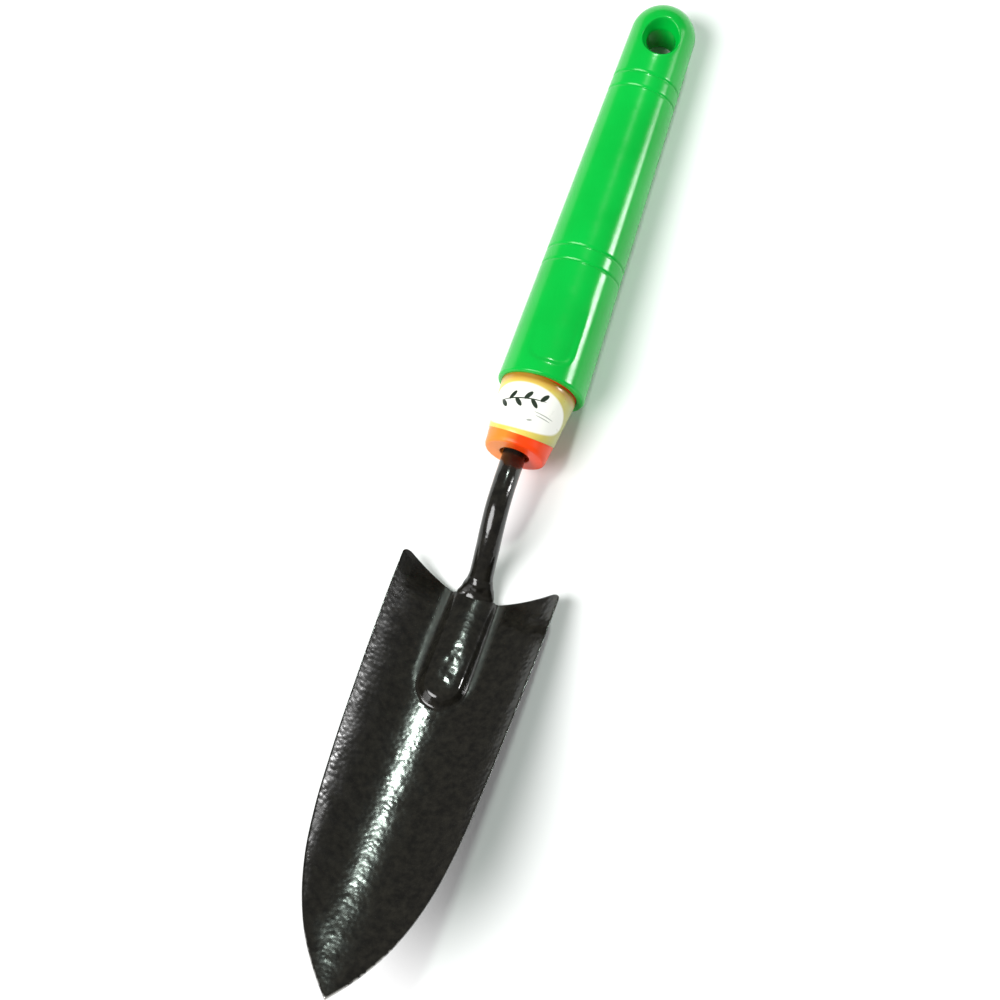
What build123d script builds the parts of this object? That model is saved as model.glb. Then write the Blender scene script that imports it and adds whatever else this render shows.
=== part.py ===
from build123d import *
import os
from math import atan, cos, degrees, radians, sin, sqrt

os.makedirs("parts", exist_ok=True)

# A hand trowel lying at rest: the heel of the blade and the underside of the grip
# touch the ground, the hollow side of the blade faces up and its tip is in the air.
# Millimetres. +Y runs from the tip to the grip, +Z is up, X = 0 is the plane of symmetry.

# ---- how the trowel lies ----
rest_tilt = 16.087  # the blade's bottom line climbs this much towards the tip
heel_y = -34.657  # where the blade's neck line sits along Y
heel_z = 1.006  # height of the blade's bottom line at the neck

# ---- blade: dished sheet with a pressed socket ----
sheet = 1.5
trough_radius = 38.0  # hollow face
blade_length = 148.4  # neck line to tip
ear_half_width = 25.8
ear_back = 6.5  # the two shoulders reach behind the neck line
ear_round = 2.2
neck_half_width = 6.7
side_line = [(25.75, -10), (25.5, -24), (24.9, -46), (23.9, -72), (22.4, -93), (20.2, -108),
             (16.9, -120), (11.6, -132), (4.3, -143)]
socket_half_width = 7.6  # at its foot
socket_length = 42.5
socket_height = 4.7
socket_draft = 18
socket_crown_round = 2.2
socket_foot_round = 2.0
socket_root = -0.3
cavity_inset = 0.56
cavity_draft = 20

# ---- shank: bent round rod, pressed flat where the blade holds it ----
rod_radius = 3.8
tang_half_width = 5.0
tang_half_height = 2.1
tang_z = 0.9
tang_y = -7.0
tang_start = -34.0
tang_tip_length = 4.0  # its end thins over this length, to these halves
tang_tip_half_width = 3.5
tang_tip_half_height = 1.05
rod_bends = [(0.0, 5.2, 8.4), (-0.15, 9.0, 14.8), (-0.45, 14.4, 21.8), (-0.8, 21.0, 26.3),
             (-1.0, 28.0, 27.7)]
# y, z, climb in degrees, half width and half height of each section, from the rod to the tang
spread_sections = [(2.2, 4.1, 48, 4.3, 3.6), (-1.4, 1.5, 16, 4.9, 2.7), (-7.0, 0.9, 0, 5.0, 2.1)]
rod_straight = 6.0  # the bent path runs on straight this far inside the plug
rod_end_s = 92.0  # where the rod ends inside the plug
rod_flat_length = 5.0
rod_press_length = 5.0  # from round to flat
rod_flat_half_width = 4.6
rod_flat_half_height = 2.7

# ---- grip axis: rises from the neck ----
grip_tilt = 14.0
grip_z = 17.5
plug_face_s = 40.0
mouth_s = 63.4
butt_s = 207.6

# ---- core plug: it and the rod sit a little askew in the sleeve ----
plug_lean = 1.9
plug_pivot_s = 80.0
plug_face_radius = 10.0
plug_mouth_radius = 12.2
plug_inner_radius = 11.0
plug_end_s = 104.0
plug_face_round = 0.9
recess_radius = 4.9
recess_depth = 2.2

# ---- label ----
label_start_s = 46.5  # on the grip's sides; its front edge is cut on a slant
label_slant = 0.31  # further forward for each millimetre upwards
label_thickness = 0.2
label_gap = 0.05  # between its rear edge and the sleeve

# ---- grip sleeve ----
sleeve_mouth_radius = 14.38
sleeve_slope = 0.027  # radius lost for each millimetre towards the butt
sleeve_wall = 2.6
lip_round = 0.8
groove_stations = [105.0, 110.6, 171.6, 177.1]
groove_radius = 0.45
hole_s = 191.9
hole_x = 0.6  # the hole sits a little off the middle
hole_radius = 4.8
hole_funnel_radius = 7.0  # where each funnelled end of the hole opens
hole_funnel_depth = 4.6
hole_mouth_round = 0.7
core_end_s = 183.0  # the empty core stops short of the hole
panel_half_width = 7.4
panel_start_s = 68.2
panel_end_s = 93.0
panel_depth = 0.65
panel_corner = 5.0

# ---- weld at the neck ----
weld_start = -0.4
weld_z = 1.9
weld_half_width = 6.5
weld_half_height = 2.7
weld_y = 4.0
weld_top_z = 6.6


def sleeve_radius(s):
    return sleeve_mouth_radius - sleeve_slope * (s - mouth_s)


def plug_radius(s):
    taper = (plug_mouth_radius - plug_face_radius) / (mouth_s - plug_face_s)
    return plug_face_radius + taper * (s - plug_face_s)


def panel_floor(s):
    return sleeve_radius(s) - panel_depth * (panel_end_s - s) / (panel_end_s - panel_start_s)


tilt = radians(rest_tilt)
blade_frame = Plane(origin=(0, heel_y, heel_z), x_dir=(1, 0, 0), z_dir=(0, sin(tilt), cos(tilt)))


def at(x, y, z):
    """A point of the blade's own frame, in the frame the trowel rests in."""
    return blade_frame.from_local_coords(Vector(x, y, z))


along = blade_frame.y_dir
across = Vector(1, 0, 0)
grip_axis = (at(0, cos(radians(grip_tilt)), sin(radians(grip_tilt))) - at(0, 0, 0)).normalized()
grip_origin = at(0, 0, grip_z)
grip_line = Axis(grip_origin, grip_axis)
grip_profile = Plane(origin=grip_origin, x_dir=grip_axis, z_dir=across)
grip_up = grip_profile.y_dir


def on_grip(s, r=0.0):
    """A point s along the grip's axis and r above it."""
    return grip_origin + grip_axis * s + grip_up * r


lean = radians(plug_lean)
plug_axis = grip_axis * cos(lean) + across * sin(lean)
plug_across = across * cos(lean) - grip_axis * sin(lean)
plug_origin = on_grip(plug_pivot_s) - plug_axis * plug_pivot_s
plug_line = Axis(plug_origin, plug_axis)
plug_profile = Plane(origin=plug_origin, x_dir=plug_axis, z_dir=plug_across)


def plug_section(s):
    """The plane square to the plug's axis, s along it."""
    return Plane(plug_origin + plug_axis * s, x_dir=plug_across, z_dir=plug_axis)


# -------------------------------------------------------------------- shank
foot_heading = (at(*rod_bends[1]) - at(*rod_bends[0])).normalized()
straight_end_s = plug_face_s + rod_straight
flat_s = rod_end_s - rod_flat_length
press_s = flat_s - rod_press_length

with BuildPart() as shank:
    # the bent round rod, from above the neck to the inside of the plug
    with BuildLine() as rod_path:
        Spline(
            *[at(*p) for p in rod_bends],
            plug_section(plug_face_s).origin,
            plug_section(straight_end_s).origin,
            tangents=[foot_heading, plug_axis],
        )
    rod_foot = Plane(at(*rod_bends[0]), x_dir=across, z_dir=foot_heading)
    with BuildSketch(rod_foot):
        Circle(rod_radius)
    sweep(path=rod_path.line)
    with BuildSketch(plug_section(straight_end_s)):
        Circle(rod_radius)
    extrude(amount=press_s - straight_end_s)
    # its buried end, pressed into a flat that keeps it from turning
    with BuildSketch(plug_section(press_s)):
        Circle(rod_radius)
    with BuildSketch(plug_section(flat_s)):
        Ellipse(rod_flat_half_width, rod_flat_half_height)
    loft()
    with BuildSketch(plug_section(flat_s)):
        Ellipse(rod_flat_half_width, rod_flat_half_height)
    extrude(amount=rod_flat_length)
    # its lower end, spread and pressed flat into the tang
    with BuildSketch(rod_foot):
        Circle(rod_radius)
    for y, z, climb, half_width, half_height in spread_sections:
        heading = along * cos(radians(climb)) + blade_frame.z_dir * sin(radians(climb))
        with BuildSketch(Plane(at(0, y, z), x_dir=across, z_dir=heading)):
            Ellipse(half_width, half_height)
    loft()
    with BuildSketch(Plane(at(0, tang_y, tang_z), x_dir=across, z_dir=along)):
        Ellipse(tang_half_width, tang_half_height)
    extrude(amount=tang_start + tang_tip_length - tang_y)
    with BuildSketch(Plane(at(0, tang_start + tang_tip_length, tang_z), x_dir=across, z_dir=along)):
        Ellipse(tang_half_width, tang_half_height)
    with BuildSketch(Plane(at(0, tang_start, tang_z), x_dir=across, z_dir=along)):
        Ellipse(tang_tip_half_width, tang_tip_half_height)
    loft()

# -------------------------------------------------------------------- blade
trough_plane = Plane(at(0, ear_back + 4, 0), x_dir=across, z_dir=-along)
up = blade_frame.z_dir

with BuildPart() as blade:
    # the plain trough: an arc of sheet drawn from the shoulders to the tip
    with BuildSketch(trough_plane):
        with Locations((0, trough_radius)):
            Circle(trough_radius + sheet)
            Circle(trough_radius, mode=Mode.SUBTRACT)
        with Locations((0, 1.4 * trough_radius)):
            Rectangle(4 * trough_radius, 2 * trough_radius, mode=Mode.SUBTRACT)
    extrude(amount=blade_length + ear_back + 6)
    # the socket pressed up from behind, round-nosed, over the tang
    with BuildSketch(Plane(at(0, 0, socket_root), x_dir=across, z_dir=up)):
        with Locations((0, socket_half_width - socket_length)):
            Circle(socket_half_width)
        with Locations((0, 0)):
            Rectangle(2 * socket_half_width, 2 * (socket_length - socket_half_width))
    extrude(amount=socket_height - socket_root, taper=socket_draft)
    crown = blade.faces().sort_by_distance(at(0, -15, socket_height))[0]
    fillet(crown.edges(), socket_crown_round)
    foot = blade.edges().filter_by(
        lambda e: e.length > 5
        and abs(e.center().X) < socket_half_width
        and abs(blade_frame.to_local_coords(e.center()).Z - 0.5) < 0.6
        and -socket_length - 1 < blade_frame.to_local_coords(e.center()).Y < 3
    )
    fillet(foot, socket_foot_round)
    # its hollow side
    with BuildSketch(Plane(at(0, 0, -4), x_dir=across, z_dir=up)):
        with Locations((0, socket_half_width - socket_length)):
            Circle(socket_half_width - cavity_inset)
        Rectangle(2 * (socket_half_width - cavity_inset), 2 * (socket_length - socket_half_width))
    extrude(amount=4 + socket_height - sheet, taper=cavity_draft, mode=Mode.SUBTRACT)
    # the outline: two shoulders, V notch, sides closing to a point
    with BuildSketch(Plane(at(0, 0, 40), x_dir=across, z_dir=up)) as outline:
        with BuildLine():
            Line((0, 0), (neck_half_width, 0))
            Line((neck_half_width, 0), (ear_half_width, ear_back))
            Line((ear_half_width, ear_back), (ear_half_width, -2))
            Spline((ear_half_width, -2), *side_line, (0, -blade_length), tangents=[(0, -1), (-0.68, -0.73)])
            mirror(about=Plane.YZ)
        make_face()
        fillet(outline.vertices().sort_by(Axis.Y)[-2:], ear_round)
    extrude(amount=-80, mode=Mode.INTERSECT)
    add(shank.part, mode=Mode.SUBTRACT)

# --------------------------------------------------------------------- weld
with BuildPart() as shank_weld:
    # a collar of weld metal that fairs the rod into the rear lip of the socket
    with BuildSketch(Plane(at(0, weld_start, weld_z), x_dir=across, z_dir=along)):
        Ellipse(weld_half_width, weld_half_height)
    with BuildSketch(Plane(at(0, weld_y, weld_top_z), x_dir=across, z_dir=foot_heading)):
        Ellipse(rod_radius + 0.45, rod_radius + 0.3)
    loft()
    add(shank.part, mode=Mode.SUBTRACT)
    add(blade.part, mode=Mode.SUBTRACT)

# the collar without the slivers left on the socket's shoulders
weld_collar = shank_weld.part.solids().sort_by(SortBy.VOLUME)[-1]

# ---------------------------------------------------------------- core plug
with BuildPart() as core_plug:
    with BuildSketch(plug_profile):
        with BuildLine():
            Polyline(
                (plug_face_s, 0),
                (plug_face_s, plug_face_radius),
                (mouth_s, plug_mouth_radius),
                (plug_end_s, plug_inner_radius),
                (plug_end_s, 0),
                close=True,
            )
        make_face()
    revolve(axis=plug_line)
    rim = core_plug.edges().filter_by(GeomType.CIRCLE)
    fillet(rim.sort_by_distance(plug_section(plug_face_s).origin)[0], plug_face_round)
    with BuildSketch(plug_section(plug_face_s)):
        Circle(recess_radius)
    extrude(amount=recess_depth, mode=Mode.SUBTRACT)
    add(shank.part, mode=Mode.SUBTRACT)

# -------------------------------------------------------------- label wrap
label_front_s = plug_face_s + 1.5
label_rear_s = mouth_s + 1.5
slant_reach = 1.4 * plug_mouth_radius

with BuildPart() as label_wrap:
    with BuildSketch(plug_profile):
        with BuildLine():
            Polyline(
                (label_front_s, plug_radius(label_front_s)),
                (label_rear_s, plug_radius(label_rear_s)),
                (label_rear_s, plug_radius(label_rear_s) + label_thickness),
                (label_front_s, plug_radius(label_front_s) + label_thickness),
                close=True,
            )
        make_face()
    revolve(axis=plug_line)
    # it stops at the sleeve's mouth, and its front edge is cut on a slant
    with BuildSketch(Plane(on_grip(mouth_s - label_gap), x_dir=across, z_dir=grip_axis)):
        Circle(slant_reach)
    extrude(amount=4, mode=Mode.SUBTRACT)
    with BuildSketch(plug_profile):
        with BuildLine():
            Polyline(
                (0, -slant_reach),
                (label_start_s + label_slant * slant_reach, -slant_reach),
                (label_start_s - label_slant * slant_reach, slant_reach),
                (0, slant_reach),
                close=True,
            )
        make_face()
    extrude(amount=slant_reach, both=True, mode=Mode.SUBTRACT)

# ------------------------------------------------------------ grip sleeve
fairing = sqrt(1 + sleeve_slope**2) - sleeve_slope
axis_radius = sleeve_radius(0)
dome_s = (butt_s - axis_radius * fairing) / (1 - sleeve_slope * fairing)
dome_radius = sleeve_radius(dome_s) * sqrt(1 + sleeve_slope**2)
dome_angle = degrees(atan(sleeve_slope))

with BuildPart() as panel_cutter:
    # the shallow thumb panel: deepest by the mouth, running out towards the butt
    with BuildSketch(Plane(on_grip(0, 6), x_dir=grip_axis, z_dir=grip_up)) as panel:
        with Locations((0.5 * (panel_start_s + panel_end_s + 6), 0)):
            Rectangle(panel_end_s + 6 - panel_start_s, 2 * panel_half_width)
        fillet(panel.vertices().sort_by(Axis.X)[:2], panel_corner)
    extrude(amount=12)
    with BuildSketch(grip_profile):
        with BuildLine():
            Polyline(
                (panel_start_s - 8, 0),
                (panel_start_s - 8, panel_floor(panel_start_s - 8)),
                (panel_end_s + 8, panel_floor(panel_end_s + 8)),
                (panel_end_s + 8, 0),
                close=True,
            )
        make_face()
    revolve(axis=grip_line, mode=Mode.SUBTRACT)

with BuildPart() as handle_sleeve:
    # outside: a slow taper closed by a round butt
    with BuildSketch(grip_profile):
        with BuildLine():
            Line((mouth_s, 0), (mouth_s, sleeve_mouth_radius))
            Line((mouth_s, sleeve_mouth_radius), (dome_s, sleeve_radius(dome_s)))
            CenterArc((butt_s - dome_radius, 0), dome_radius, 90 - dome_angle, dome_angle - 90)
            Line((butt_s, 0), (mouth_s, 0))
        make_face()
    revolve(axis=grip_line)
    mouth_edge = handle_sleeve.edges().filter_by(GeomType.CIRCLE).sort_by_distance(on_grip(mouth_s))
    fillet(mouth_edge[0], lip_round)
    # inside: the seat of the plug, then an empty core as far as the hang hole
    add(core_plug.part, mode=Mode.SUBTRACT)
    add(shank.part, mode=Mode.SUBTRACT)
    with BuildSketch(grip_profile):
        with BuildLine():
            Polyline(
                (plug_end_s, 0),
                (plug_end_s, sleeve_radius(plug_end_s) - sleeve_wall),
                (core_end_s, sleeve_radius(core_end_s) - sleeve_wall),
                (core_end_s, 0),
                close=True,
            )
        make_face()
    revolve(axis=grip_line, mode=Mode.SUBTRACT)
    # two pairs of fine turned grooves
    for station in groove_stations:
        with BuildSketch(grip_profile):
            with Locations((station, sleeve_radius(station) + 0.1)):
                Circle(groove_radius)
        revolve(axis=grip_line, mode=Mode.SUBTRACT)
    add(panel_cutter.part, mode=Mode.SUBTRACT)
    # hang hole, straight through the butt, funnelled at both ends
    funnel_slope = (hole_funnel_radius - hole_radius) / hole_funnel_depth
    throat = sleeve_radius(hole_s) - hole_funnel_depth
    with BuildSketch(grip_profile.offset(hole_x)):
        with BuildLine():
            Polyline(
                (hole_s, -throat - 9),
                (hole_s + hole_radius + 9 * funnel_slope, -throat - 9),
                (hole_s + hole_radius, -throat),
                (hole_s + hole_radius, throat),
                (hole_s + hole_radius + 9 * funnel_slope, throat + 9),
                (hole_s, throat + 9),
                close=True,
            )
        make_face()
    revolve(axis=Axis(on_grip(hole_s) + across * hole_x, grip_up), mode=Mode.SUBTRACT)
    mouths = handle_sleeve.edges().sort_by_distance(on_grip(hole_s, 11))[:1]
    mouths += handle_sleeve.edges().sort_by_distance(on_grip(hole_s, -11))[:1]
    fillet(mouths, hole_mouth_round)

# ---------------------------------------------------------------- export
blade.part.label = "blade"
export_step(blade.part, "parts/blade.step")
shank.part.label = "shank"
export_step(shank.part, "parts/shank.step")
weld_collar.label = "shank_weld"
export_step(weld_collar, "parts/shank_weld.step")
core_plug.part.label = "core_plug"
export_step(core_plug.part, "parts/core_plug.step")
label_wrap.part.label = "label_wrap"
export_step(label_wrap.part, "parts/label_wrap.step")
handle_sleeve.part.label = "handle_sleeve"
export_step(handle_sleeve.part, "parts/handle_sleeve.step")
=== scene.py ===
"""A garden hand trowel: black hammered blade and shank, green moulded grip, lying at rest on a pale floor."""

from math import atan2, ceil, cos, hypot, pi, radians, sin, sqrt, tan

import bmesh
import bpy
import numpy as np
from mathutils import Matrix, Vector, noise


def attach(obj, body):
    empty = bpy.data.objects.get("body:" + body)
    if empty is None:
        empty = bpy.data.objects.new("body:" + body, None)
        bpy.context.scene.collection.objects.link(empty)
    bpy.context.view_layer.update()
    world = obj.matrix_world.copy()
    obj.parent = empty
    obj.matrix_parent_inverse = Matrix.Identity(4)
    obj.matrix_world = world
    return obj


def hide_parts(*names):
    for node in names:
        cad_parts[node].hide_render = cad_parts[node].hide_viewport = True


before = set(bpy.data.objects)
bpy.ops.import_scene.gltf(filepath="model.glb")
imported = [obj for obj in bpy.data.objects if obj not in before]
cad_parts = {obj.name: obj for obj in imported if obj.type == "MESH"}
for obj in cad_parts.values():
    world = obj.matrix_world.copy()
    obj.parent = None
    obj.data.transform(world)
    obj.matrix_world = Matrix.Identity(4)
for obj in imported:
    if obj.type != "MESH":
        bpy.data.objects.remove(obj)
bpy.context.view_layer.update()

MM = 0.001
FLOOR_CLEARANCE = 0.005

# ---- how the trowel lies: the blade's own frame inside the row's frame (mm, degrees) ----
REST_TILT = 16.087
HEEL = Vector((0.0, -34.657, 1.006))
GRIP_TILT = 14.0
GRIP_Z = 17.5

# ---- blade ----
SHEET = 1.5
TROUGH_R = 38.0
BLADE_LENGTH = 148.4
EAR_HALF = 25.8
EAR_BACK = 6.5
EAR_ROUND = 2.2
NECK_HALF = 6.7
# the side line: y, half-width
SIDE = [(-2, 25.8), (-10, 25.75), (-24, 25.5), (-46, 24.9), (-72, 23.9), (-93, 22.4), (-108, 20.2),
        (-120, 16.9), (-132, 11.6), (-143, 4.3), (-148.4, 0.0)]
EDGE_R = 0.5
OUTLINE_CLEARANCE = 0.03  # keeps the mesh just inside the CAD outline
SOCKET_HALF = 7.6
SOCKET_LENGTH = 42.5
SOCKET_HEIGHT = 4.7
WALL_SLOPE, CAVITY_SLOPE = tan(radians(18)), tan(radians(20))  # the socket's sides, outside and inside
CREASE_REACH, CREASE_WIDTH = 8.7, 1.4  # the dull line beside the socket
DROOP_START, DROOP_RATE = 112.0, 0.00033  # the tip sinks with the square of the distance past the start

# ---- shank ----
ROD_R = 3.8
# the crank's middle line, in the blade's frame
BENDS = [(0.0, 5.2, 8.4), (-0.15, 9.0, 14.8), (-0.45, 14.4, 21.8), (-0.8, 21.0, 26.3), (-1.0, 28.0, 27.7)]

# ---- grip stations along its axis ----
PLUG_FACE_S, MOUTH_S, PLUG_END_S, CORE_END_S, BUTT_S = 40.0, 63.4, 104.0, 183.0, 207.58
PLUG_FACE_R, PLUG_MOUTH_R, PLUG_INNER_R = 10.0, 12.2, 11.0
PLUG_LEAN, PLUG_PIVOT_S = 1.9, 80.0
RECESS_R, RECESS_DEPTH = 4.9, 2.2
LABEL_START_S, LABEL_SLANT, LABEL_T = 46.5, 0.31, 0.2
SLEEVE_R, SLEEVE_SLOPE, SLEEVE_WALL = 14.38, 0.027, 2.6
GROOVES = [105.0, 110.6, 171.6, 177.1]
HOLE_X, HOLE_S, HOLE_R, FUNNEL_R, FUNNEL_DEPTH = 0.6, 191.9, 4.8, 7.0, 4.6
GROOVE_DEPTH, GROOVE_HALF = 0.32, 0.36
PANEL_HALF, PANEL_S, PANEL_END_S, PANEL_DEPTH = 7.4, 68.2, 93.0, 0.65
PANEL_CORNER, PANEL_FRONT_S = 5.0, 66.0

tilt = radians(REST_TILT)
BLADE_AXES = (Vector((1, 0, 0)), Vector((0, cos(tilt), -sin(tilt))), Vector((0, sin(tilt), cos(tilt))))


def at(x, y, z):
    """A point of the blade's own frame (mm), in the row's frame (mm)."""
    return HEEL + BLADE_AXES[0] * x + BLADE_AXES[1] * y + BLADE_AXES[2] * z


GRIP_ORIGIN = at(0, 0, GRIP_Z)
GRIP_AXIS = BLADE_AXES[1] * cos(radians(GRIP_TILT)) + BLADE_AXES[2] * sin(radians(GRIP_TILT))
GRIP_UP = BLADE_AXES[2] * cos(radians(GRIP_TILT)) - BLADE_AXES[1] * sin(radians(GRIP_TILT))

lean = radians(PLUG_LEAN)
PLUG_AXIS = GRIP_AXIS * cos(lean) + BLADE_AXES[0] * sin(lean)
PLUG_ACROSS = BLADE_AXES[0] * cos(lean) - GRIP_AXIS * sin(lean)
PLUG_ORIGIN = GRIP_ORIGIN + GRIP_AXIS * PLUG_PIVOT_S - PLUG_AXIS * PLUG_PIVOT_S

BLADE = (HEEL, BLADE_AXES)
GRIP = (GRIP_ORIGIN, (BLADE_AXES[0], GRIP_AXIS, GRIP_UP))
PLUG = (PLUG_ORIGIN, (PLUG_ACROSS, PLUG_AXIS, GRIP_UP))


# ------------------------------------------------------------------ helpers
def smooth_min(a, b, k):
    return 0.5 * (a + b - np.sqrt((a - b) ** 2 + k * k))


def smooth_max(a, b, k):
    return 0.5 * (a + b + np.sqrt((a - b) ** 2 + k * k))


def smooth_step(low, high, v):
    t = np.clip((v - low) / (high - low), 0.0, 1.0)
    return t * t * (3.0 - 2.0 * t)


def through(xs, ys, x):
    """A smooth curve through the points (xs, ys), xs rising, read at x; ys may hold vectors."""
    xs, ys, x = np.asarray(xs, float), np.asarray(ys, float), np.asarray(x, float)
    slopes = np.gradient(ys, xs, axis=0)
    i = np.clip(np.searchsorted(xs, x) - 1, 0, len(xs) - 2)
    step = xs[i + 1] - xs[i]
    t = (x - xs[i]) / step
    if ys.ndim > 1:
        step, t = step[:, None], t[:, None]
    a, b = (1 + 2 * t) * (1 - t) ** 2, t * (1 - t) ** 2
    return a * ys[i] + b * step * slopes[i] + (1 - a) * ys[i + 1] - t * t * (1 - t) * step * slopes[i + 1]


def grain(points, size, seed):
    """Smooth random numbers, about -1 to 1, whose lumps are size mm across, at points in mm."""
    return np.array([noise.noise(Vector(p) / size + Vector((seed, 0, 0))) for p in points.tolist()])


def grid_faces(index, wrap=False):
    """Quads of a grid of vertex numbers; wrap joins the last column to the first."""
    if wrap:
        index = np.hstack([index, index[:, :1]])
    a, b, c, d = index[:-1, :-1], index[:-1, 1:], index[1:, 1:], index[1:, :-1]
    return np.stack([a, b, c, d], axis=-1).reshape(-1, 4).tolist()


def placed(points, place):
    """Points given across, along and above one of the tool's own frames, in the row's frame (mm)."""
    origin, axes = place
    return np.array(origin) + points @ np.array([list(a) for a in axes])


def make_piece(name, points, faces, material, node, values=None, uv=None):
    """A smooth-shaded mesh from points in mm that stands for a CAD node and rides with the tool."""
    points[:, 2] = np.maximum(points[:, 2], FLOOR_CLEARANCE)
    mesh = bpy.data.meshes.new(name)
    mesh.from_pydata((points * MM).tolist(), [], faces)
    mesh.validate()
    if values is not None:
        for key, column in values.items():
            layer = mesh.attributes.new(key, "FLOAT", "POINT")
            layer.data.foreach_set("value", np.asarray(column, np.float32))
    if uv is not None:
        layer = mesh.uv_layers.new(name="UVMap")
        corners = np.zeros(len(mesh.loops), np.int32)
        mesh.loops.foreach_get("vertex_index", corners)
        layer.data.foreach_set("uv", np.asarray(uv, np.float32)[corners].ravel())
    bm = bmesh.new()
    bm.from_mesh(mesh)
    bmesh.ops.recalc_face_normals(bm, faces=bm.faces)
    bm.to_mesh(mesh)
    bm.free()
    mesh.shade_smooth()
    mesh.materials.append(material)
    piece = bpy.data.objects.new(name, mesh)
    bpy.context.scene.collection.objects.link(piece)
    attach(piece, "root")
    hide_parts(node)


# ------------------------------------------------------------------ materials
class Nodes:
    """A short way to build one material's node tree."""

    def __init__(self, name):
        self.material = bpy.data.materials.new(name)
        self.material.use_nodes = True
        self.tree = self.material.node_tree
        self.shader = self.tree.nodes["Principled BSDF"]
        self.place = self.add("ShaderNodeTexCoord").outputs["Object"]

    def add(self, kind, **settings):
        node = self.tree.nodes.new(kind)
        for key, value in settings.items():
            setattr(node, key, value)
        return node

    def link(self, source, target):
        self.tree.links.new(source, target)

    def noise(self, scale, detail, roughness=0.5):
        node = self.add("ShaderNodeTexNoise")
        node.inputs["Scale"].default_value = scale
        node.inputs["Detail"].default_value = detail
        node.inputs["Roughness"].default_value = roughness
        self.link(self.place, node.inputs["Vector"])
        return node.outputs["Fac"]

    def ramp(self, value, stops):
        node = self.add("ShaderNodeValToRGB")
        elements = node.color_ramp.elements
        while len(elements) < len(stops):
            elements.new(0.5)
        for element, (position, colour) in zip(elements, stops):
            element.position = position
            element.color = (*colour, 1.0)
        self.link(value, node.inputs["Fac"])
        return node.outputs["Color"]

    def spread(self, value, low, high, to_low, to_high):
        node = self.add("ShaderNodeMapRange")
        for key, number in zip(("From Min", "From Max", "To Min", "To Max"), (low, high, to_low, to_high)):
            node.inputs[key].default_value = number
        self.link(value, node.inputs["Value"])
        return node.outputs["Result"]

    def math(self, operation, a, b):
        node = self.add("ShaderNodeMath", operation=operation)
        for socket, value in zip(node.inputs, (a, b)):
            if isinstance(value, (int, float)):
                socket.default_value = value
            else:
                self.link(value, socket)
        return node.outputs["Value"]

    def mix(self, factor, a, b):
        node = self.add("ShaderNodeMix", data_type="RGBA")
        self.link(factor, node.inputs["Factor"])
        for socket, value in ((node.inputs[6], a), (node.inputs[7], b)):
            if isinstance(value, tuple):
                socket.default_value = (*value, 1.0)
            else:
                self.link(value, socket)
        return node.outputs[2]

    def attribute(self, name):
        return self.add("ShaderNodeAttribute", attribute_name=name).outputs["Fac"]

    def bump(self, height, strength, distance):
        node = self.add("ShaderNodeBump")
        node.inputs["Strength"].default_value = strength
        node.inputs["Distance"].default_value = distance
        self.link(height, node.inputs["Height"])
        return node.outputs["Normal"]

    def set(self, **values):
        for key, value in values.items():
            socket = self.shader.inputs[key.replace("_", " ")]
            if isinstance(value, (int, float)):
                socket.default_value = value
            elif isinstance(value, tuple):
                socket.default_value = (*value, 1.0)
            else:
                self.link(value, socket)


def hammered_paint():
    """Near-black stoving paint with fine craters, worn to grey steel on rubbed edges, dull in creases."""
    n = Nodes("black_hammered_paint")
    craters = n.add("ShaderNodeTexVoronoi", feature="SMOOTH_F1")
    craters.inputs["Scale"].default_value = 640
    craters.inputs["Smoothness"].default_value = 0.55
    n.link(n.place, craters.inputs["Vector"])
    fine = n.noise(2300, detail=3)
    mottle = n.ramp(n.noise(420, detail=4, roughness=0.6),
                    [(0.35, (0.0055, 0.005, 0.004)), (0.7, (0.016, 0.0145, 0.011))])
    scratches = n.noise(300, detail=6, roughness=0.75)
    rubbed = n.math("GREATER_THAN", n.math("ADD", n.attribute("wear"), scratches), 1.18)
    colour = n.mix(rubbed, mottle, (0.34, 0.33, 0.31))
    relief = n.math("ADD", craters.outputs["Distance"], n.math("MULTIPLY", fine, 0.12))
    pooled = n.math("MULTIPLY", n.attribute("crease"), 0.35)
    gloss = n.math("ADD", n.spread(n.noise(160, detail=3), 0.3, 0.7, 0.12, 0.20), pooled)
    n.set(Base_Color=colour, Roughness=gloss, Metallic=n.math("MULTIPLY", rubbed, 0.8),
          Normal=n.bump(relief, 0.20, 0.0002))
    return n.material


def green_plastic():
    """Glossy injection-moulded grip, with a faint mould texture and handling scuffs."""
    n = Nodes("green_plastic")
    cloud = n.noise(45, detail=3)
    colour = n.ramp(cloud, [(0.3, (0.0005, 0.36, 0.034)), (0.75, (0.001, 0.42, 0.044))])
    scuffs = n.noise(220, detail=8, roughness=0.72)
    wave = n.math("ADD", n.noise(120, detail=1), n.math("MULTIPLY", n.noise(900, detail=2), 0.25))
    n.set(Base_Color=colour, Roughness=n.spread(scuffs, 0.35, 0.75, 0.17, 0.25), Specular_IOR_Level=0.3,
          Normal=n.bump(wave, 0.06, 0.0004))
    return n.material


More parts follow.
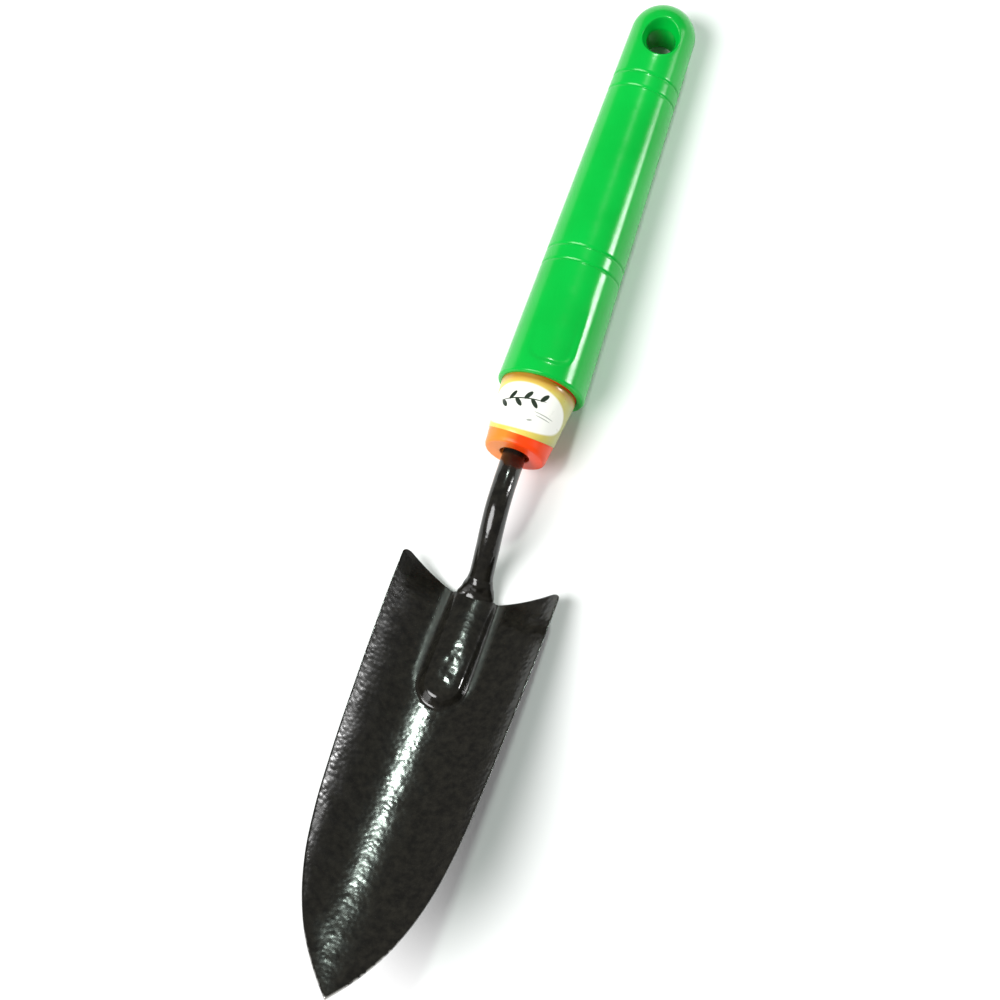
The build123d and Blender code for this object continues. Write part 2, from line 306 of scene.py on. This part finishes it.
def orange_plastic():
    """Satin moulded plug; its left side is painted paler yellow-orange as painted light from the left, the
    edge wobbled by flow marks.
    """
    n = Nodes("orange_plastic")
    flow = n.noise(90, detail=4, roughness=0.6)
    split = n.add("ShaderNodeSeparateXYZ")
    n.link(n.place, split.inputs["Vector"])
    # painted light: the plug's left side (low x) turns paler yellow-orange, flow noise wobbling the edge
    painted_light_side = n.math("ADD", split.outputs["X"], n.math("MULTIPLY", flow, 0.004))
    colour = n.ramp(n.spread(painted_light_side, -0.0045, 0.0035, 0.0, 1.0),
                    [(0.2, (0.78, 0.22, 0.025)), (0.7, (0.80, 0.052, 0.003))])
    n.set(Base_Color=colour, Roughness=n.spread(n.noise(400, detail=5), 0.3, 0.7, 0.28, 0.40),
          Specular_IOR_Level=0.3,
          Normal=n.bump(n.noise(700, detail=2), 0.1, 0.0003))
    return n.material


def printed_film():
    """Yellow to olive film with a white oval, a leaf sprig and two rules, and painted shadow under the
    sleeve's lip. UV: across and along, in mm.
    """
    n = Nodes("printed_label")
    uv = n.add("ShaderNodeUVMap", uv_map="UVMap").outputs["UV"]
    split = n.add("ShaderNodeSeparateXYZ")
    n.link(uv, split.inputs["Vector"])
    u, v = split.outputs["X"], split.outputs["Y"]

    def oval(centre_u, centre_v, half_u, half_v, lean=0.0):
        """1 inside an oval whose long half leans by an angle, softly 0 outside."""
        du, dv = n.math("SUBTRACT", u, centre_u), n.math("SUBTRACT", v, centre_v)
        p = n.math("ADD", n.math("MULTIPLY", du, cos(lean)), n.math("MULTIPLY", dv, sin(lean)))
        q = n.math("SUBTRACT", n.math("MULTIPLY", dv, cos(lean)), n.math("MULTIPLY", du, sin(lean)))
        p, q = n.math("DIVIDE", p, half_u), n.math("DIVIDE", q, half_v)
        reach = n.math("ADD", n.math("MULTIPLY", p, p), n.math("MULTIPLY", q, q))
        return n.spread(reach, 0.93, 1.07, 1.0, 0.0)

    ground = n.ramp(n.spread(u, -14.0, 17.0, 0.0, 1.0),
                    [(0.0, (0.80, 0.55, 0.09)), (0.45, (0.76, 0.58, 0.12)), (1.0, (0.33, 0.34, 0.07))])
    # painted shadow: the film darkens to dark ochre just under the sleeve's lip
    ground = n.mix(n.spread(v, 16.9, 19.3, 0.0, 0.95), ground, (0.42, 0.16, 0.01))
    print_grain = n.noise(1500, detail=2)
    ground = n.mix(n.math("MULTIPLY", print_grain, 0.12), ground, (0.45, 0.36, 0.05))
    colour = n.mix(oval(*OVAL), ground, (0.82, 0.81, 0.76))
    for leaf in LEAVES:
        colour = n.mix(oval(*leaf), colour, (0.012, 0.022, 0.012))
    for rule in RULES:
        colour = n.mix(oval(*rule), colour, (0.35, 0.36, 0.33))
    n.set(Base_Color=colour, Roughness=n.spread(n.noise(500, detail=4), 0.3, 0.7, 0.26, 0.38),
          Normal=n.bump(n.noise(140, detail=2), 0.15, 0.0003), Coat_Weight=0.3, Coat_Roughness=0.15)
    return n.material


def floor_paint():
    n = Nodes("studio_floor")
    n.set(Base_Color=n.ramp(n.noise(6, detail=2), [(0.3, (0.86, 0.86, 0.86)), (0.7, (0.89, 0.89, 0.89))]),
          Roughness=0.85, Specular_IOR_Level=0.2)
    return n.material


# label artwork: ovals in mm on the unrolled film (u round the plug, v along it)
OVAL = (-1.9, 9.6, 16.6, 7.7, 0.0)
LEAVES = [(-8.6 + 2.5 * i, 10.9 + 0.4 * i + (1.2 if i % 2 else -1.2), 1.75, 0.72, 1.0 if i % 2 else -0.75)
          for i in range(6)]
LEAVES.append((-3.0, 11.9, 8.0, 0.22, 0.16))  # the stem
RULES = [(5.8, 8.9 - 1.0 * i, 3.6 - 0.8 * i, 0.17, 0.0) for i in range(2)]
RULES.append((1.7, 5.7, 0.9, 0.35, 0.3))  # a short dash below them

BLACK = hammered_paint()
GREEN = green_plastic()
ORANGE = orange_plastic()
FILM = printed_film()


# ------------------------------------------------------------------ blade
NECK_SLOPE = EAR_BACK / (EAR_HALF - NECK_HALF)
corner_angle = pi / 2 - atan2(NECK_SLOPE, 1.0)
ear_run = EAR_ROUND / tan(corner_angle / 2)
ARC_X, ARC_Y = EAR_HALF - EAR_ROUND, EAR_BACK - ear_run
arc_reach = hypot(EAR_ROUND, ear_run)
CORNER_X = ARC_X + EAR_ROUND * EAR_ROUND / arc_reach
CORNER_Y = ARC_Y + EAR_ROUND * ear_run / arc_reach
ARC_START_X = EAR_HALF - ear_run * cos(atan2(NECK_SLOPE, 1.0))
side_y, side_w = (np.array(v) for v in zip(*reversed(SIDE)))


def half_width(y):
    """The blade's half-width at y: the ear's rounded corner, then the side line."""
    along_side = np.minimum(through(side_y, side_w, np.minimum(y, ARC_Y)), EAR_HALF - OUTLINE_CLEARANCE)
    in_arc = ARC_X - OUTLINE_CLEARANCE + np.sqrt(np.maximum(EAR_ROUND**2 - (y - ARC_Y) ** 2, 0.0))
    return np.where(y > ARC_Y, in_arc, along_side)


def rear_line(x):
    """Where the blade ends behind: flat at the neck, up the V notch, round the ears."""
    x = np.abs(x)
    notch = NECK_SLOPE * smooth_max(x - NECK_HALF, 0.0 * x, 0.6)
    in_arc = ARC_Y + np.sqrt(np.maximum(EAR_ROUND**2 - (x - ARC_X) ** 2, 0.0))
    return np.where(x > ARC_START_X, in_arc, notch)


def socket_reach(x, y):
    """Distance from the pressed socket's middle line, which ends in a round nose."""
    past_nose = np.minimum(y + SOCKET_LENGTH - SOCKET_HALF, 0.0)
    return np.hypot(x, past_nose)


def upper_face(x, y):
    """Height of the hollow side: the trough, with the pressed socket blended up out of it."""
    trough = TROUGH_R - np.sqrt(TROUGH_R**2 - x * x)
    reach = socket_reach(x, y)
    wall = (SOCKET_HALF - reach) / WALL_SLOPE - 0.3
    bow = 0.0133 + 0.022 * smooth_step(-31.0, -15.0, y)
    crown = SOCKET_HEIGHT + 0.1 - bow * reach**2 - 0.55 * ((y + 30.0) / 24.0) ** 2
    foot = 0.9 + 2.1 * smooth_step(-41.0, -30.0, y) * smooth_step(14.0, -26.0, y)
    return smooth_max(trough, smooth_min(crown, wall, 2.2), foot)


def lower_face(x, y):
    """Height of the underside: the trough, with the socket's cavity sunk into it."""
    trough = TROUGH_R - np.sqrt((TROUGH_R + SHEET) ** 2 - x * x)
    reach = socket_reach(x, y)
    wall = (SOCKET_HALF - 0.56 - reach) / CAVITY_SLOPE - 4
    return smooth_max(trough, smooth_min(SOCKET_HEIGHT - SHEET - 0.05 + 0 * x, wall, 0.9), 0.25)


def hammer(points, seed):
    """The paint's hammered skin, in mm: rounded cells one to three millimetres across."""
    return 0.007 * grain(points, 1.6, seed) + 0.019 * grain(points, 3.2, seed + 7)


def build_blade():
    rows, columns = 300, 112
    tip_blunt, tip_inner = 0.45, 1.7  # how far the outer and the inner grid stop short of the tip

    def outline_grid(inset, tip):
        """A grid over the blade's plan, set in from its outline."""
        v = np.linspace(0, 1, rows)[:, None]
        t = np.linspace(-1, 1, columns)[None, :]
        rear_y = CORNER_Y - inset
        y_side = rear_y + (tip - BLADE_LENGTH - rear_y) * v
        slope = (half_width(y_side + 0.2) - half_width(y_side - 0.2)) / 0.4
        slope = np.where(y_side > ARC_Y - 0.5, 0.0, slope)
        w = half_width(y_side) - inset * np.sqrt(1 + slope**2)
        w[0] = CORNER_X - inset * 0.6
        x = t * np.maximum(w, 0.2)
        painted_light_side = (1 - smooth_step(0, 0.22, v)) * (1 - t**8 * smooth_step(0, 0.02, v))
        y = y_side + (rear_line(t * CORNER_X) - CORNER_Y) * painted_light_side
        y -= 0.25 * (1 - t * t) * smooth_step(0.97, 1.0, v)
        return x, y

    x, y = outline_grid(EDGE_R, tip_inner)
    ox, oy = outline_grid(0.0, tip_blunt)
    count = rows * columns
    index = np.arange(count).reshape(rows, columns)
    loop = np.concatenate([index[0, :-1], index[:-1, -1], index[-1, :0:-1], index[:0:-1, 0]])
    inner = np.stack([x.ravel(), y.ravel()], 1)
    outer = np.stack([ox.ravel(), oy.ravel()], 1)[loop]
    top_z, low_z = upper_face(inner[:, 0], inner[:, 1]), lower_face(inner[:, 0], inner[:, 1])
    top = np.column_stack([inner, top_z])
    low = np.column_stack([inner, low_z])
    rim_top = np.column_stack([outer, upper_face(outer[:, 0], outer[:, 1])])
    rim_low = np.column_stack([outer, lower_face(outer[:, 0], outer[:, 1])])

    rings = []
    for face, corner, other in ((top, rim_top, rim_low), (low, rim_low, rim_top)):
        start = face[loop]
        down = corner + (other - corner) * (EDGE_R / 1.9)
        for t in (0.25, 0.5, 0.75, 1.0):
            rings.append((1 - t) ** 2 * start + 2 * t * (1 - t) * corner + t * t * down)
    rings = rings[:4] + rings[:3:-1]

    points = np.vstack([top, low] + rings)
    ring_index = 2 * count + np.arange(len(rings) * len(loop)).reshape(len(rings), len(loop))
    band = np.vstack([loop[None], ring_index, loop[None] + count])
    faces = grid_faces(index) + grid_faces(index + count) + grid_faces(band, wrap=True)

    x, y = points[:, 0], points[:, 1]
    skin = hammer(points, 0.0)
    # the socket's crown is lumpier; sway is the pressing's slow unevenness; the dent lies left of the tip
    skin += 0.16 * grain(points, 2.6, 13.0) * np.exp(-((x / 3.6) ** 4) - ((y + 29.0) / 9.5) ** 4)
    sway = 0.10 * grain(points, 38.0, 3.0) + 0.05 * grain(points, 9.0, 5.0)
    dent = -0.45 * np.exp(-(((x + 14.0) / 8.0) ** 2) - ((y + 125.0) / 8.5) ** 2)
    droop = -DROOP_RATE * np.minimum(y + DROOP_START, 0.0) ** 2
    inside = np.zeros(len(points))
    inside[:2 * count] = 1.0
    edge_gap = np.abs(half_width(y) - np.abs(x)) * inside
    keep = smooth_step(0.0, 3.0, edge_gap)
    points[:, 2] += skin * np.where(inside > 0, 1.0, 0.4) + sway * keep + dent + droop
    low_down = smooth_step(-95.0, -140.0, points[:, 1])
    wear = (0.30 + 0.42 * low_down) * (1 - smooth_step(0.0, 0.9, edge_gap))
    crease = np.exp(-(((socket_reach(x, y) - CREASE_REACH) / CREASE_WIDTH) ** 2))
    crease = crease * smooth_step(-38.0, -30.0, y)
    values = {"wear": wear, "crease": crease}
    make_piece("trowel_blade", placed(points, BLADE), faces, BLACK, "blade", values)


# ------------------------------------------------------------------ shank
def tube(stations, step, around, lumps):
    """Rings of a bent bar through (centre, half width, half height) stations; lumps(points) swells them."""
    centres = np.array([s[0] for s in stations])
    sizes = np.array([s[1:] for s in stations])
    run = np.concatenate([[0], np.cumsum(np.linalg.norm(np.diff(centres, axis=0), axis=1))])
    where = np.linspace(0, run[-1], ceil(run[-1] / step) + 1)
    line = through(run, centres, where)
    size = np.stack([np.interp(where, run, sizes[:, k]) for k in range(2)], 1)
    heading = np.gradient(line, where, axis=0)
    heading /= np.linalg.norm(heading, axis=1)[:, None]
    side = np.array([1.0, 0, 0]) - heading * heading[:, :1]
    side /= np.linalg.norm(side, axis=1)[:, None]
    over = np.cross(side, heading) * -1
    angle = np.linspace(0, 2 * pi, around, endpoint=False)
    rings = (line[:, None] + side[:, None] * (size[:, :1] * np.cos(angle))[:, :, None]
             + over[:, None] * (size[:, 1:] * np.sin(angle))[:, :, None])
    points = rings.reshape(-1, 3)
    normal = points - np.repeat(line, around, axis=0)
    normal /= np.linalg.norm(normal, axis=1)[:, None]
    points = points + normal * lumps(points)[:, None]
    index = np.arange(len(points)).reshape(len(line), around)
    return points, index, line


def closed_tube(points, index, line):
    """Closes both ends of a tube with a middle vertex."""
    faces = grid_faces(index, wrap=True)
    points = np.vstack([points, line[0], line[-1]])
    for ring, middle in ((index[0], len(points) - 2), (index[-1], len(points) - 1)):
        faces += [[int(a), int(b), middle] for a, b in zip(ring, np.roll(ring, -1))]
    return points, faces


def build_shank():
    def spot(x, y, z):
        return np.array(at(x, y, z))

    def buried(s):
        return np.array(PLUG_ORIGIN + PLUG_AXIS * s)

    stations = [
        (spot(0, -34.0, 0.9), 3.5, 1.05), (spot(0, -30.0, 0.9), 5.0, 2.05), (spot(0, -18.0, 0.9), 5.0, 2.1),
        (spot(0, -7.0, 0.9), 5.0, 2.1), (spot(0, -1.4, 1.5), 4.9, 2.7), (spot(0, 2.2, 4.1), 4.35, 3.6),
        *[(spot(*p), ROD_R, ROD_R) for p in BENDS],
        (buried(PLUG_FACE_S), ROD_R, ROD_R), (buried(PLUG_FACE_S + 8), ROD_R, ROD_R),
        (buried(60), ROD_R, ROD_R), (buried(82), ROD_R, ROD_R), (buried(87), 4.6, 2.7),
        (buried(92), 4.6, 2.7)]

    def lumps(p):
        return hammer(p, 11.0) + 0.07 * grain(p, 6.0, 4.0)

    points, index, line = tube(stations, 0.5, 56, lumps)
    points, faces = closed_tube(points, index, line)
    wear = np.full(len(points), 0.18)
    make_piece("cranked_shank", points, faces, BLACK, "shank", {"wear": wear})


def build_weld():
    """A lumpy collar of weld metal that fairs the rod into the socket's rear lip."""
    sections = ((-1.6, 1.6, 5.2, 2.5), (-0.6, 1.8, 6.1, 2.75), (0.6, 2.5, 6.0, 3.05), (1.9, 3.8, 5.35, 3.6),
                (3.2, 5.6, 4.6, 3.95), (4.3, 7.1, 4.0, 3.85), (5.0, 8.1, 3.5, 3.5))
    stations = [(np.array(at(0, y, z)), w, h) for y, z, w, h in sections]

    def lumps(p):
        return hammer(p, 21.0) + 0.22 * grain(p, 2.4, 2.0) - 0.06

    points, index, line = tube(stations, 0.3, 64, lumps)
    points, faces = closed_tube(points, index, line)
    wear = np.full(len(points), 0.2)
    make_piece("neck_weld", points, faces, BLACK, "shank_weld", {"wear": wear})


# ------------------------------------------------------------------ turned pieces of the grip
def lathe(profile, around, radial):
    """Rings of a profile [(s, r), ...] about the grip's axis; radial(s, angle) moves points outwards."""
    s, r = (np.array(v, float) for v in zip(*profile))
    angle = np.linspace(0, 2 * pi, around, endpoint=False)
    ss, aa = np.repeat(s, around), np.tile(angle, len(s))
    rr = np.repeat(r, around) + radial(ss, aa)
    index = np.arange(len(ss)).reshape(len(s), around)
    return np.stack([rr * np.sin(aa), ss, rr * np.cos(aa)], 1), index


def arc(centre_s, centre_r, radius, start, end, count):
    """Profile points on an arc; angles in degrees from the axis towards the outside."""
    return [(centre_s + radius * cos(radians(a)), centre_r + radius * sin(radians(a)))
            for a in np.linspace(start, end, count)]


def build_plug():
    taper = (PLUG_MOUTH_R - PLUG_FACE_R) / (MOUTH_S - PLUG_FACE_S)
    floor_s = PLUG_FACE_S + RECESS_DEPTH
    floor_round, lip_round, rim_round = 0.4, 0.35, 0.9
    profile = [(floor_s, 0.01), (floor_s, 2.5), (floor_s, RECESS_R - floor_round)]
    profile += arc(floor_s - floor_round, RECESS_R - floor_round, floor_round, 0, 90, 4)
    profile += [(PLUG_FACE_S + 1.1, RECESS_R)]
    recess_lip = arc(PLUG_FACE_S + lip_round, RECESS_R + lip_round, lip_round, 0, -90, 5)
    profile += [(2 * PLUG_FACE_S + 2 * lip_round - s, r) for s, r in recess_lip][::-1]
    profile += [(PLUG_FACE_S, r) for r in (6.4, 7.4, 8.4)]
    profile += arc(PLUG_FACE_S + rim_round, PLUG_FACE_R - rim_round, rim_round, 180, 95, 8)
    front = np.linspace(PLUG_FACE_S + 1.0, MOUTH_S, 40)
    profile += [(s, PLUG_FACE_R + taper * (s - PLUG_FACE_S)) for s in front]
    profile += [(80.0, 11.7), (PLUG_END_S - 0.5, PLUG_INNER_R), (PLUG_END_S, PLUG_INNER_R - 0.5),
                (PLUG_END_S, 0.01)]

    def skin(s, a):
        """A faint mould seam on each side of the bare front band."""
        seam = 0.05 * np.exp(-((np.abs(np.sin(a)) - 1.0) / 0.0006) ** 2 / 2)
        return np.where((s > PLUG_FACE_S + 1.5) & (s < 42.5), seam, 0.0)

    points, index = lathe(profile, 128, skin)
    faces = grid_faces(index, wrap=True)
    make_piece("core_plug_moulding", placed(points, PLUG), faces, ORANGE, "core_plug")


def build_label():
    """The film: one turn round the plug, its front edge cut on a slant and its seam lapped underneath."""
    taper = (PLUG_MOUTH_R - PLUG_FACE_R) / (MOUTH_S - PLUG_FACE_S)
    front_r, rear_r = 10.6, 12.4  # the plug under the film's two edges
    print_r, print_s = 11.3, 43.0  # the artwork's mean radius, and the station where its v is 0
    angle = np.linspace(-pi, pi, 181)
    front = LABEL_START_S - LABEL_SLANT * front_r * np.cos(angle)
    rows = [(t, 0.02) for t in np.linspace(0, 1, 12)] + [(1.0, LABEL_T - 0.06)]
    rows += [(t, LABEL_T) for t in np.linspace(0.995, 0.005, 12)] + [(0.0, LABEL_T - 0.06)]
    rear = MOUTH_S - 0.05 + rear_r * sin(lean) * np.sin(angle) * -1
    s = np.array([front + (rear - front) * t for t, rise in rows])
    rise = np.array([[rise] for t, rise in rows])
    r = PLUG_FACE_R + taper * (s - PLUG_FACE_S) + rise - 0.05 * smooth_step(pi - 0.5, pi - 0.46, angle)
    points = np.stack([r * np.sin(angle), s, r * np.cos(angle)], -1).reshape(-1, 3)
    index = np.arange(len(points)).reshape(s.shape)
    faces = grid_faces(np.vstack([index, index[:1]]))
    faces += [index[:, 0].tolist(), index[::-1, -1].tolist()]
    uv = np.stack([(angle * print_r + 0 * s).ravel(), s.ravel() - print_s], 1)
    make_piece("label_film", placed(points, PLUG), faces, FILM, "label_wrap", uv=uv)


# ------------------------------------------------------------------ grip sleeve
fairing = sqrt(1 + SLEEVE_SLOPE**2) - SLEEVE_SLOPE
AXIS_R = SLEEVE_R + SLEEVE_SLOPE * MOUTH_S
DOME_S = (BUTT_S - AXIS_R * fairing) / (1 - SLEEVE_SLOPE * fairing)
DOME_R = (AXIS_R - SLEEVE_SLOPE * DOME_S) * sqrt(1 + SLEEVE_SLOPE**2)
DOME_C = BUTT_S - DOME_R


def sleeve_radius(s):
    """The grip's outer radius: a slow taper closed by a round butt."""
    cone = AXIS_R - SLEEVE_SLOPE * s
    dome = np.sqrt(np.maximum(DOME_R**2 - (s - DOME_C) ** 2, 0.0))
    return np.where(s > DOME_S, dome, cone)


def sleeve_relief(s, angle):
    """Turned grooves and the thumb panel, outwards in mm."""
    depth = sum(GROOVE_DEPTH * np.exp(-(((s - g) / GROOVE_HALF) ** 2)) for g in GROOVES)
    x = sleeve_radius(s) * np.sin(angle)
    px = np.maximum(np.abs(x) - (PANEL_HALF - PANEL_CORNER), 0)
    ps = np.maximum(PANEL_S + PANEL_CORNER - s, 0)
    inside = PANEL_CORNER - np.hypot(px, ps)
    panel = smooth_step(-0.5, 1.3, inside) * np.clip((PANEL_END_S - s) / (PANEL_END_S - PANEL_S), 0, 1)
    panel = np.where((np.cos(angle) > 0) & (s > PANEL_FRONT_S), panel, 0.0) * PANEL_DEPTH
    return -depth - panel


def groove_refined(low, high, step):
    """Stations from low to high, close together at the grooves."""
    stations = np.arange(low, high, step)
    near = np.concatenate([g + np.linspace(-1.3, 1.3, 15) for g in GROOVES if low < g < high])
    far = [s for s in stations if np.min(np.abs(near - s)) > 0.3] if len(near) else stations
    return sorted([*far, *near, high])


def build_sleeve():
    around = 160
    patch_half, patch_rows, patch_reach = 24, 31, 9.2  # the part of the skin round each end of the hole
    s0, s1 = HOLE_S - patch_reach, HOLE_S + patch_reach

    lip = [(MOUTH_S + 0.4, PLUG_MOUTH_R + 0.04), (MOUTH_S + 0.1, PLUG_MOUTH_R + 0.12),
           (MOUTH_S, PLUG_MOUTH_R + 0.3), (MOUTH_S, PLUG_MOUTH_R + 0.85)]
    lip += arc(MOUTH_S + 0.8, SLEEVE_R - 0.8, 0.8, 180, 92, 8)
    body = [(s, sleeve_radius(s)) for s in groove_refined(MOUTH_S + 1.0, s0 - 0.6, 0.62)]
    holes = [(s, sleeve_radius(s)) for s in np.linspace(s0, s1, patch_rows)]
    dome = [(DOME_C + DOME_R * cos(a), DOME_R * sin(a))
            for a in np.linspace(np.arccos((s1 + 0.5 - DOME_C) / DOME_R), 0.02, 14)]
    core = [(PLUG_END_S, PLUG_INNER_R), (PLUG_END_S, sleeve_radius(PLUG_END_S) - SLEEVE_WALL),
            (CORE_END_S, sleeve_radius(CORE_END_S) - SLEEVE_WALL), (CORE_END_S, 0.02)]
    profile = core[::-1] + lip + body + holes + dome

    def relief(s, a):
        return np.where(s > MOUTH_S + 0.9, sleeve_relief(s, a), 0)

    points, index = lathe(profile, around, relief)
    askew = (points[:, 1] - PLUG_PIVOT_S) * tan(lean)
    on_plug = [r < PLUG_MOUTH_R + 0.5 and s <= PLUG_END_S and (s, r) != core[1] for s, r in profile]
    seat = np.repeat(on_plug, around)
    points[:, 0] += np.where(seat, askew, 0.0)
    first = len(core) + len(lip) + len(body)
    last = first + patch_rows - 1

    faces = grid_faces(index[:first + 1], wrap=True)
    turned = np.roll(index, patch_half, axis=1)
    half_turn = around // 2
    between = slice(2 * patch_half, half_turn + 1)
    rows = slice(first, last + 1)
    faces += grid_faces(turned[rows, between])
    other = np.roll(turned, -half_turn, axis=1)
    faces += grid_faces(other[rows, between])
    faces += grid_faces(index[last:], wrap=True)
    faces.append(index[-1].tolist())
    faces.append(index[0].tolist())

    throat = float(sleeve_radius(HOLE_S)) - FUNNEL_DEPTH
    extra, hole_rings = [], []
    next_index = len(points)
    for block, sign in ((turned, 1.0), (other, -1.0)):
        rect = block[first:last + 1, :2 * patch_half + 1]
        loop = np.concatenate([rect[0, :-1], rect[:-1, -1], rect[-1, :0:-1], rect[:0:-1, 0]])
        bx, bs = points[loop, 0], points[loop, 1]
        turn = np.arctan2(bs - HOLE_S, bx - HOLE_X)
        reach = np.hypot(bx - HOLE_X, bs - HOLE_S)
        ring_ids = [loop]
        radii = [FUNNEL_R + 0.9 + (reach - FUNNEL_R - 0.9) * f for f in (0.8, 0.6, 0.4, 0.2, 0.0)]
        radii += [d + 0 * reach for d in np.linspace(FUNNEL_R + 0.75, HOLE_R, 22)]
        for radius in radii:
            x, s = HOLE_X + radius * np.cos(turn), HOLE_S + radius * np.sin(turn)
            skin = np.sqrt(np.maximum(sleeve_radius(s) ** 2 - x * x, 0))
            n = smooth_min(skin, throat + (radius - HOLE_R) * FUNNEL_DEPTH / (FUNNEL_R - HOLE_R), 0.4)
            extra.append(np.stack([x, s, sign * n], 1))
            ring_ids.append(next_index + np.arange(len(loop)))
            next_index += len(loop)
        faces += grid_faces(np.array(ring_ids), wrap=True)
        hole_rings.append((ring_ids[-1], extra[-1]))
    (top_ids, top_ring), (low_ids, low_ring) = hole_rings
    order = [int(np.argmin(np.hypot(low_ring[:, 0] - p[0], low_ring[:, 1] - p[1]))) for p in top_ring]
    wall = [top_ids]
    for f in np.linspace(0, 1, 14)[1:-1]:
        extra.append(top_ring + (low_ring[order] - top_ring) * f)
        wall.append(next_index + np.arange(len(top_ids)))
        next_index += len(top_ids)
    wall.append(low_ids[order])
    faces += grid_faces(np.array(wall), wrap=True)
    points = np.vstack([points, *extra])
    make_piece("grip_sleeve", placed(points, GRIP), faces, GREEN, "handle_sleeve")


# ------------------------------------------------------------------ studio
def build_floor():
    bpy.ops.mesh.primitive_plane_add(size=6.0, location=(0, 0, 0))
    floor = bpy.context.object
    floor.name = "studio_floor"
    floor.data.materials.append(floor_paint())


TOOL_MIDDLE = Vector((0, 0, 0.02))


def hang_light(name, lamp, direction, distance):
    """Puts a lamp where the tool sees it along a direction, and turns it to face the tool."""
    light = bpy.data.objects.new(name, lamp)
    bpy.context.scene.collection.objects.link(light)
    toward = Vector(direction).normalized()
    light.location = TOOL_MIDDLE + toward * distance
    light.rotation_euler = toward.to_track_quat("Z", "Y").to_euler()


def key_light(direction, strength, spread):
    """A far, very broad light, which keeps the floor evenly pale as far as it goes."""
    lamp = bpy.data.lights.new("key", "SUN")
    lamp.energy = strength
    lamp.angle = radians(spread)
    hang_light("key", lamp, direction, 2.0)


def soft_light(name, direction, distance, size, watts, colour=(1, 1, 1)):
    """A small window or softbox."""
    lamp = bpy.data.lights.new(name, "AREA")
    lamp.shape = "RECTANGLE"
    lamp.size, lamp.size_y = size
    lamp.energy = watts
    lamp.color = colour
    hang_light(name, lamp, direction, distance)


def build_camera():
    """Looks down on the hollow side from a little right of the middle line, from beyond the tip."""
    azimuth, slant, roll = 7.0, 34.43, 20.83
    distance, aim_right, aim_up = 1200.0, 7.95, 31.68
    sensor, zoom = 36.0, 3.17  # zoom: how many picture widths make a metre at the tool
    a, b, g = radians(azimuth), radians(slant), radians(roll)
    back = Vector((sin(a) * cos(b), -sin(b), cos(a) * cos(b)))
    level = (Vector((0, 1, 0)) - back * back.y).normalized()
    flat = level.cross(back)
    right = flat * cos(g) + level * sin(g)
    up = level * cos(g) - flat * sin(g)
    spot = back * distance + right * aim_right + up * aim_up
    to_row = Matrix(BLADE_AXES).transposed()
    turn = to_row @ Matrix((right, up, back)).transposed()
    data = bpy.data.cameras.new("camera")
    data.sensor_width = sensor
    data.lens = sensor * zoom * distance / 1000.0
    data.clip_end = 20.0
    camera = bpy.data.objects.new("camera", data)
    camera.matrix_world = Matrix.Translation((HEEL + to_row @ spot) * MM) @ turn.to_4x4()
    bpy.context.scene.collection.objects.link(camera)
    bpy.context.scene.camera = camera


def build_light():
    world = bpy.data.worlds.new("studio")
    world.use_nodes = True
    world.node_tree.nodes["Background"].inputs["Color"].default_value = (1, 1, 1, 1)
    world.node_tree.nodes["Background"].inputs["Strength"].default_value = 0.17
    bpy.context.scene.world = world
    key_light((-0.50, -0.50, 0.80), 4.3, 38)
    soft_light("beyond_the_grip", (0.03, 0.712, 0.701), 1.4, (0.11, 0.08), 7.5, (0.84, 1.0, 0.90))
    soft_light("right_window", (0.826, 0.477, 0.300), 2.0, (0.15, 0.5), 14)
    bpy.context.scene.view_settings.view_transform = "Standard"


build_camera()
build_light()
build_floor()
build_blade()
build_shank()
build_weld()
build_plug()
build_label()
build_sleeve()
